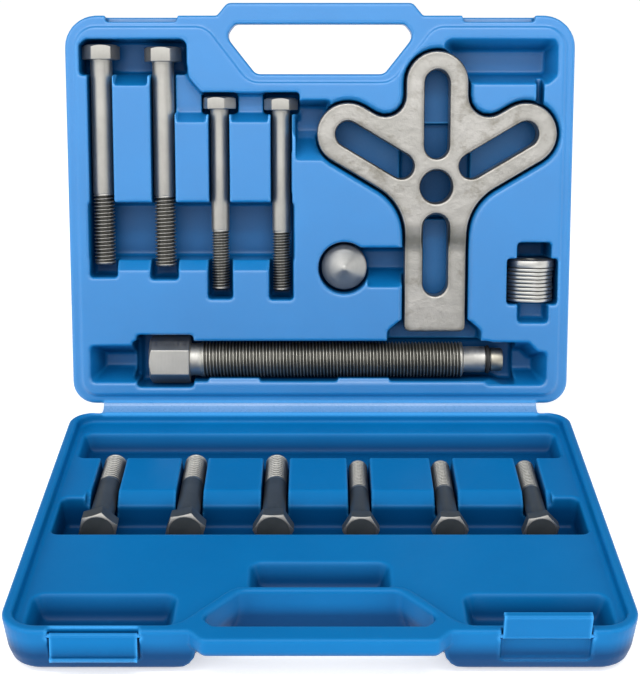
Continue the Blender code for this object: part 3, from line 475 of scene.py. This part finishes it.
def build_bolt(node, along, up, materials):
    """A bolt turned along x from its head; its last material is for the thread's roots.

    With three materials the second one is for the bright parts: the thread and the head's chamfer.
    """
    size = BOLT_SIZES["3_8" if "3_8" in node else "m8"]
    matrix, extent = axis_frame(node, along, up)
    radius, head, length = size["radius"], size["head"], extent.x
    thread = size["long_thread"] if node.startswith("long") else size["short_thread"]
    start = length - thread
    rows = head_rows(size["flats"], head)
    rows += [
        (head + 0.01, radius + 0.5), (head + 0.12, radius + 0.16), (head + 0.5, radius),
        (head + 1.2, radius), ((head + start) / 2, radius), (start - 0.6, radius),
    ]
    rows += thread_rows(start, length - 0.9, radius - 0.05, size["pitch"], 1.2)
    rows += [(length - 0.15, radius - 0.75), (length, radius - 1.0)]
    bright_from = start - 0.5 if len(materials) > 2 else None
    piece = lathe(f"{node}_turned", rows, materials, matrix, bright_from, head_turn(node, matrix))
    if len(materials) > 2:
        brighten_head(piece, head)
    darken_roots(piece, start, length, radius, size["pitch"])
    finish_piece(piece, f"{node}_body", [node])


def head_turn(node, matrix):
    """How far a hex head is turned about its axis, from its corner that stands out the farthest."""
    into = matrix.inverted()
    corner = max((into @ v.co for v in NODES[node].data.vertices), key=lambda p: math.hypot(p.y, p.z))
    return (math.atan2(corner.z, corner.y) + math.pi / 6) % (math.pi / 3)


def brighten_head(piece, head):
    """Gives the chamfer of a dark bolt's head the second material, the bright one."""
    for face in piece.data.polygons:
        if face.center.x < head * 0.2 * MM and len(face.vertices) == 4:
            face.material_index = 1


def build_screw(materials):
    """The forcing screw; its materials: thread, end collar, head with neck and nose, thread roots."""
    s = SCREW
    matrix, extent = axis_frame("forcing_screw", RIGHT, LID_OUT)
    rows = head_rows(s["flats"], s["head"], 0.35)
    rows += [
        (s["head"] + 0.02, s["neck"] + 0.7), (s["head"] + 0.4, s["neck"] + 0.1),
        (s["head"] + 1.6, s["neck"]), (s["neck_end"] - 1.4, s["neck"]),
        (s["neck_end"] - 0.3, s["neck"] + 0.25), (s["neck_end"] + 0.4, s["thread"] - 0.1),
    ]
    rows += thread_rows(s["neck_end"] + 0.6, s["thread_end"] - 0.6, s["thread"] - 0.04, s["pitch"], 1.0)
    rows += [
        (s["thread_end"] - 0.2, s["thread"] - 0.7), (s["thread_end"] + 0.1, s["nose"] + 0.3),
        (s["thread_end"] + 0.5, s["nose"]), (s["groove_start"] - 0.25, s["nose"]),
        (s["groove_start"], s["nose"] - 0.25), (s["groove_start"] + 0.02, s["groove"]),
        (s["groove_end"] - 0.02, s["groove"]), (s["groove_end"], s["tip"] - 0.2),
        (s["groove_end"] + 0.25, s["tip"]), (extent.x - 1.0, s["tip"]),
        (extent.x - 0.25, s["tip"] - 0.35), (extent.x, s["tip"] - 0.9),
    ]
    turn = head_turn("forcing_screw", matrix)
    piece = lathe("forcing_screw_turned", rows, materials, matrix, s["groove_end"] - 0.1, turn)
    for face in piece.data.polygons:
        x = face.center.x / MM
        if x < s["neck_end"] - 0.5 or s["thread_end"] < x < s["groove_end"] - 0.1:
            face.material_index = 2
    darken_roots(piece, s["neck_end"] + 0.6, s["thread_end"], s["thread"], s["pitch"])
    finish_piece(piece, "screw", ["forcing_screw"])


def build_o_ring(material):
    """A plain torus in the screw's groove."""
    matrix, extent = axis_frame("screw_o_ring", RIGHT, LID_OUT)
    minor = extent.x / 2
    major = extent.z / 2 - minor
    around, sides = 72, 16
    vertices = []
    for k in range(around):
        a = 2 * math.pi * k / around
        for j in range(sides):
            b = 2 * math.pi * j / sides
            r = major + minor * math.cos(b)
            vertices.append(Vector((minor + minor * math.sin(b), r * math.cos(a), r * math.sin(a))) * MM)
    faces = []
    for k in range(around):
        for j in range(sides):
            m, n = (k + 1) % around, (j + 1) % sides
            faces.append((k * sides + j, k * sides + n, m * sides + n, m * sides + j))
    ring = mesh_object("screw_o_ring_moulded", vertices, faces, [material], matrix)
    ring.data.shade_smooth()
    finish_piece(ring, "screw", ["screw_o_ring"])


def build_cone(material):
    """The cone tip: a turned cone with a rounded point over a short cylinder."""
    matrix, extent = axis_frame("cone_tip", LID_OUT, LID_UP)
    radius, height, base = extent.z / 2, extent.x, CONE_BASE
    slope = (radius - 0.5) / (height - base)
    rows = [
        (0.0, radius - 0.7), (0.2, radius - 0.25), (0.7, radius), (base - 0.25, radius),
        (base, radius - 0.12),
    ]
    steps = 24
    for k in range(1, steps + 1):
        x = base + 0.2 + (height - base - 0.9) * k / steps
        rows.append((x, radius - 0.2 - slope * (x - base)))
    tip_x, tip_r = rows[-1]
    rows += [(tip_x + 0.28, tip_r * 0.72), (tip_x + 0.42, tip_r * 0.35)]
    piece = lathe("cone_tip_turned", rows, [material], matrix)
    finish_piece(piece, "cone", ["cone_tip"])


def build_washer(node, material):
    """A stamped washer: rounded on the side where the punch went in, with a slight burr on the other."""
    matrix, extent = axis_frame(node, LID_UP, LID_OUT)
    radius, thickness, bore = extent.z / 2, extent.x, WASHER_BORE
    profile = [
        (0.25, bore), (0.07, bore + 0.08), (0.0, bore + 0.28), (0.0, radius - 0.5), (0.09, radius - 0.18),
        (0.32, radius), (thickness - 0.2, radius), (thickness - 0.05, radius - 0.07),
        (thickness, radius - 0.25), (thickness, bore + 0.2), (thickness - 0.15, bore),
    ]
    steps = 96
    vertices = []
    for x, r in profile:
        for k in range(steps):
            a = 2 * math.pi * k / steps
            vertices.append(Vector((x, r * math.cos(a), r * math.sin(a))) * MM)
    faces = []
    for i in range(len(profile)):
        low, high = i * steps, (i + 1) % len(profile) * steps
        for k in range(steps):
            n = (k + 1) % steps
            faces.append((low + k, low + n, high + n, high + k))
    piece = mesh_object(f"{node}_stamped", vertices, faces, [material], matrix)
    tidy_normals(piece)
    shade(piece, 40.0)
    finish_piece(piece, "washers", [node])


# ---------------------------------------------------------------- remeshed pieces


def copy_node(node, name):
    """A new object with a copy of a node's mesh, which is in the frame's own place."""
    obj = bpy.data.objects.new(name, NODES[node].data.copy())
    obj.data.materials.clear()
    bpy.context.scene.collection.objects.link(obj)
    return obj


def join(target, others):
    """Adds the meshes of other objects, whose places are in their vertices, to the target's mesh."""
    work = bmesh.new()
    work.from_mesh(target.data)
    for other in others:
        other.data.transform(other.matrix_world)
        work.from_mesh(other.data)
        bpy.data.objects.remove(other, do_unlink=True)
    work.to_mesh(target.data)
    work.free()


def soften(obj, voxel, rounds):
    """Remeshes a solid evenly and relaxes it, which rounds its edges as moulding or forging does."""
    remesh = obj.modifiers.new("skin", "REMESH")
    remesh.mode = "VOXEL"
    remesh.voxel_size = voxel
    relax = obj.modifiers.new("relax", "SMOOTH")
    relax.factor = 0.5
    relax.iterations = rounds
    graph = bpy.context.evaluated_depsgraph_get()
    mesh = bpy.data.meshes.new_from_object(obj.evaluated_get(graph))
    obj.modifiers.clear()
    obj.data = mesh
    obj.data.shade_smooth()


def block(name, centre, right, up, out, size):
    """A box from its centre and its sizes along right, up and out, in millimetres."""
    axes = [axis * length * MM / 2 for axis, length in zip((right, up, out), size)]
    corners = [
        centre + axes[0] * i + axes[1] * j + axes[2] * k for i in (-1, 1) for j in (-1, 1) for k in (-1, 1)
    ]
    faces = [(0, 1, 3, 2), (4, 6, 7, 5), (0, 4, 5, 1), (2, 3, 7, 6), (0, 2, 6, 4), (1, 5, 7, 3)]
    return mesh_object(name, corners, faces, [])


def tray_point(x, v, z, up, out):
    """A point in a tray: x to the right, v from the hinge, z out of the parting plane, in millimetres."""
    return HINGE + RIGHT * x * MM + up * v * MM + out * z * MM


def blow_hole_plug(depth, up, out):
    """Shuts the blow pin's hole, so that the hollow inside isn't remeshed with the outer skin."""
    return block("plug", tray_point(0.0, 6.0, -depth * 0.55, up, out), RIGHT, up, out, (7.0, 4.0, 7.0))


def build_half(node, body, depth, rear, up, out, extras, material):
    """A case half, with the edges and corners of its CAD solid rounded as in a blow moulding."""
    half = copy_node(node, f"{node}_moulded")
    cut_web(half, rear, up, out)
    join(half, [blow_hole_plug(depth, up, out)] + extras)
    soften(half, VOXEL, 4)
    half.data.materials.append(material)
    finish_piece(half, body, [node])


def cut_web(half, rear, up, out):
    """Takes the CAD model's flat web off the rear wall; the hinge strip stands in for it."""
    centre = tray_point(0.0, (rear - WEB_SHORT - WEB_PAST) / 2, -WEB_DEPTH, up, out)
    size = (WEB_WIDTH, rear - WEB_SHORT + WEB_PAST, WEB_HEIGHT)
    cutter = block("web_cutter", centre, RIGHT, up, out, size)
    modifier = half.modifiers.new("cut", "BOOLEAN")
    modifier.operation = "DIFFERENCE"
    modifier.object = cutter
    modifier.solver = "EXACT"
    graph = bpy.context.evaluated_depsgraph_get()
    half.data = bpy.data.meshes.new_from_object(half.evaluated_get(graph))
    half.modifiers.clear()
    bpy.data.objects.remove(cutter, do_unlink=True)


def lid_nubs():
    """Small swellings on the channel walls that hold the long bolts and the screw in place."""
    nubs = []
    for node in sorted(NODES):
        if not node.startswith("long_bolt"):
            continue
        low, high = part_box(node)
        x = (low[0] + high[0]) / 2 / MM
        radius = BOLT_SIZES["3_8" if "3_8" in node else "m8"]["radius"]
        for side in (-1, 1):
            beside = x + side * (radius + BOLT_NUB_GAP)
            centre = tray_point(beside, BOLT_NUB_UP, BOLT_NUB_OUT, LID_UP, LID_OUT)
            nubs.append(block("nub", centre, RIGHT, LID_UP, LID_OUT, BOLT_NUB))
    for x in SCREW_NUBS_X:
        centre = tray_point(x, SCREW_NUB_UP, SCREW_NUB_OUT, LID_UP, LID_OUT)
        nubs.append(block("nub", centre, RIGHT, LID_UP, LID_OUT, SCREW_NUB))
    return nubs


def build_hinge_strip(material):
    """The living hinge: one thin strip that bends between the rear walls of the two halves."""
    start = tray_point(0.0, BASE_REAR + STRIP_ROOT, -STRIP_DEPTH, BASE_FRONT, BASE_OUT)
    end = tray_point(0.0, LID_REAR + STRIP_ROOT, -STRIP_DEPTH, LID_UP, LID_OUT)
    knee = HINGE + Vector((0.0, 0.9, -0.6)) * MM
    half, thickness, steps = STRIP_HALF * MM, STRIP_THICKNESS * MM, 14
    vertices = []
    for k in range(steps + 1):
        t = k / steps
        point = start * (1 - t) ** 2 + knee * 2 * t * (1 - t) + end * t ** 2
        along = ((knee - start) * (1 - t) + (end - knee) * t).normalized()
        across = RIGHT.cross(along)
        for side in (-1, 1):
            for x in (-half, half):
                vertices.append(point + across * side * thickness / 2 + RIGHT * x)
    faces = [(0, 1, 3, 2), tuple(4 * steps + n for n in (0, 2, 3, 1))]
    for k in range(steps):
        a = 4 * k
        faces += [(a, a + 4, a + 5, a + 1), (a + 2, a + 3, a + 7, a + 6)]
        faces += [(a, a + 2, a + 6, a + 4), (a + 1, a + 5, a + 7, a + 3)]
    strip = mesh_object("living_hinge", vertices, faces, [material])
    tidy_normals(strip)
    shade(strip, 40.0)
    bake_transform(strip)


def tidy_normals(obj):
    """Turns all faces of a closed mesh outwards."""
    work = bmesh.new()
    work.from_mesh(obj.data)
    bmesh.ops.recalc_face_normals(work, faces=work.faces)
    work.to_mesh(obj.data)
    work.free()


def dress_latch(latch, material):
    """Gives a latch its plastic and the soft edges of a moulding."""
    latch.data.materials.clear()
    latch.data.materials.append(material)
    bevel = latch.modifiers.new("soft_edges", "BEVEL")
    bevel.width = 0.35 * MM
    bevel.segments = 3
    bevel.limit_method = "ANGLE"
    bevel.angle_limit = math.radians(40.0)


def build_yoke(material):
    yoke = copy_node("puller_yoke", "puller_yoke_forged")
    soften(yoke, YOKE_VOXEL, 16)
    yoke.data.materials.append(material)
    finish_piece(yoke, "yoke", ["puller_yoke"])


# ---------------------------------------------------------------- stage


def build_stage():
    size = FLOOR_HALF
    corners = [(-size, -size, 0), (size, -size, 0), (size, size, 0), (-size, size, 0)]
    floor = mesh_object("floor", corners, [(0, 1, 2, 3)], [floor_material()])

    world = bpy.data.worlds.new("studio")
    bpy.context.scene.world = world
    world.use_nodes = True
    background = world.node_tree.nodes["Background"]
    background.inputs["Color"].default_value = (0.97, 0.98, 1.0, 1.0)
    background.inputs["Strength"].default_value = 0.35

    for name, place, size, power in LIGHTS:
        add_area(name, place, size, power)


def add_area(name, place, size, power):
    light = bpy.data.lights.new(name, "AREA")
    light.shape = "RECTANGLE"
    light.size, light.size_y = size
    light.energy = power
    obj = bpy.data.objects.new(name, light)
    bpy.context.scene.collection.objects.link(obj)
    obj.location = place
    obj.rotation_euler = (Vector(LIGHT_TARGET) - Vector(place)).to_track_quat("-Z", "Y").to_euler()


def build_camera():
    camera = bpy.data.cameras.new("camera")
    camera.sensor_fit = "VERTICAL"
    camera.sensor_height = CAMERA_SENSOR
    camera.lens = CAMERA_LENS
    obj = bpy.data.objects.new("camera", camera)
    bpy.context.scene.collection.objects.link(obj)
    obj.location = CAMERA_PLACE
    obj.rotation_euler = (math.radians(CAMERA_TILT), 0.0, 0.0)
    bpy.context.scene.camera = obj


def main():
    build_camera()
    build_stage()
    bpy.context.scene.view_settings.view_transform = "Standard"

    lid_plastic = plastic_material("blue_plastic", LID_OUT, BLUE, LID_LEVELS, 0.95, 0.37)
    # The base's plastic is the lid's in a darker copy: painted shade
    base_plastic = plastic_material("blue_plastic_shaded", BASE_OUT, SHADED_BLUE, BASE_LEVELS, 0.12, 0.36)
    turned = (1500.0, 120.0, 120.0)  # work marks that run round the axis
    drawn = (90.0, 1500.0, 1500.0)  # work marks that run along it
    bolt_steel = steel_material("bolt_steel", (0.36, 0.35, 0.325), (0.43, 0.42, 0.39), 0.44, drawn)
    dark_steel = steel_material(
        "dark_bolt_steel", (0.068, 0.080, 0.086), (0.102, 0.114, 0.122), 0.48, metallic=0.7)
    screw_steel = steel_material("screw_steel", (0.37, 0.365, 0.33), (0.46, 0.45, 0.41), 0.42, turned)
    collar_steel = steel_material("screw_collar", (0.36, 0.335, 0.275), (0.44, 0.41, 0.34), 0.40, turned)
    bright_steel = steel_material("screw_bright", (0.42, 0.41, 0.385), (0.50, 0.49, 0.46), 0.46, turned)
    cone_steel = steel_material(
        "cone_steel", (0.36, 0.36, 0.345), (0.44, 0.437, 0.42), 0.42, (1800.0, 90.0, 90.0), 0.8, 0.9)
    # Dark colour for the thread roots: dirt and painted shade in the grooves
    root_dirt_and_shade = steel_material("thread_root_dirt_and_shade", (0.09, 0.088, 0.078), (0.15, 0.146, 0.13), 0.5)
    washer_steel = steel_material("washer_steel", (0.50, 0.495, 0.465), (0.60, 0.59, 0.56), 0.40)

    build_half("upper_case_half", "lid", 30.0, LID_REAR, LID_UP, LID_OUT, lid_nubs(), lid_plastic)
    build_half("lower_case_half", "base", 20.0, BASE_REAR, BASE_FRONT, BASE_OUT, [], base_plastic)
    # The hinge strip's paler plastic is a painted highlight
    hinge_plastic = plastic_material(
        "blue_plastic_painted_sheen", LID_OUT, SHEEN_BLUE, LID_LEVELS, 0.8, 0.30, 0.0)
    build_hinge_strip(hinge_plastic)
    for side in ("left", "right"):
        dress_latch(NODES[f"latch_{side}"], base_plastic)

    build_yoke(yoke_material())
    build_screw([screw_steel, collar_steel, bright_steel, root_dirt_and_shade])
    build_o_ring(rubber_material())
    build_cone(cone_steel)
    for node in sorted(NODES):
        if node.startswith("long_bolt"):
            build_bolt(node, -LID_UP, LID_OUT, [bolt_steel, root_dirt_and_shade])
        elif node.startswith("short_bolt"):
            materials = [dark_steel, bolt_steel, root_dirt_and_shade]
            build_bolt(node, -BASE_FRONT, BASE_OUT, materials)
        elif node.startswith("washer"):
            build_washer(node, washer_steel)


main()
